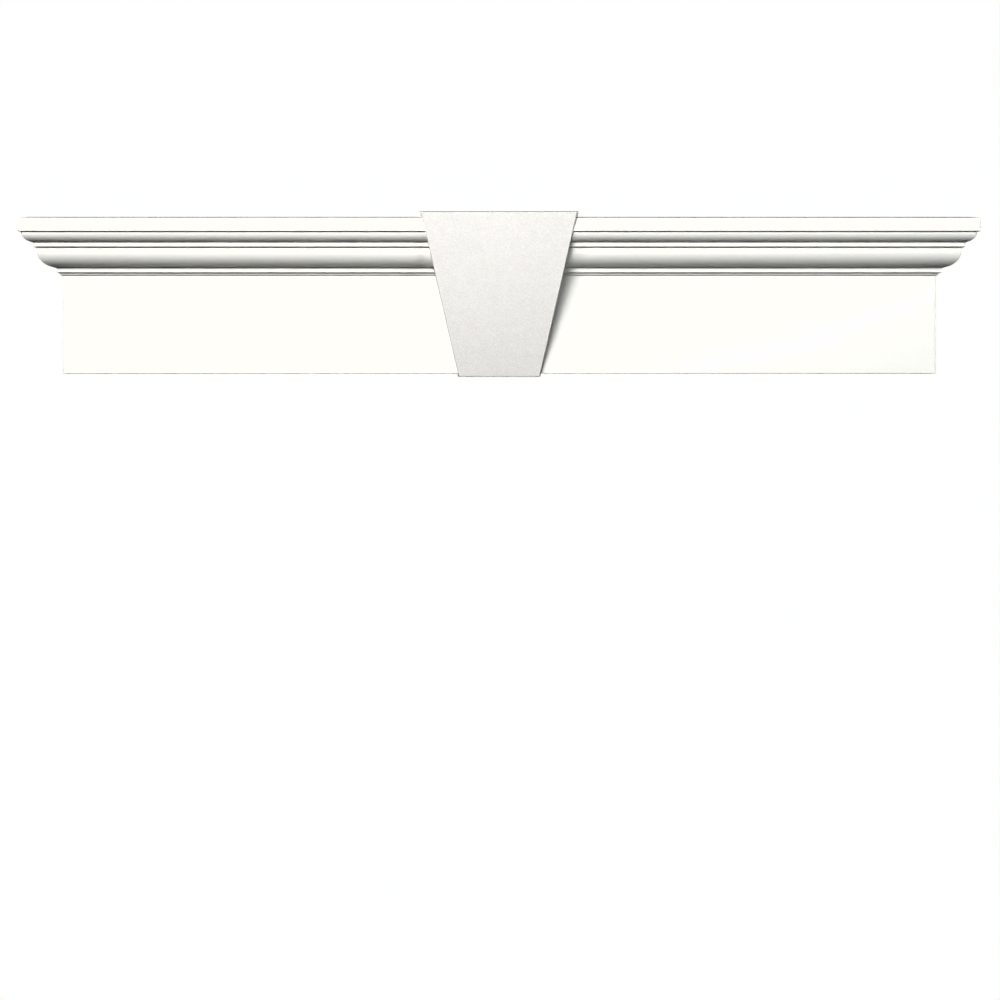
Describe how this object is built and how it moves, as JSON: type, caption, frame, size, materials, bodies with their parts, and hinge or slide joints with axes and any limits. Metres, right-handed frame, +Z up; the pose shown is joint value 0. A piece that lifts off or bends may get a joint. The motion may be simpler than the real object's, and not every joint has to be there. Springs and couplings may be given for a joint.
{
  "type": "window header with keystone",
  "caption": "Moulded window header: a hollow, open-backed crosshead with a plain frieze under two ovolos and a cap, returned at both ends, and a tapered keystone over its middle.",
  "frame": {"origin": "middle of the lower rim of the header's open back, on the wall plane, half way along the header", "axes": "+X along the header, to the viewer's right; +Y into the wall; +Z up. The moulded face looks along -Y."},
  "size_m": [0.933, 0.075, 0.164],
  "materials": {
    "header_vinyl": "smooth matte moulded vinyl, warm white",
    "keystone_vinyl": "finely stippled matte moulded vinyl, warm white"
  },
  "bodies": {
    "root": {"header": "header_vinyl", "keystone": "keystone_vinyl"}
  },
  "joints": []
}
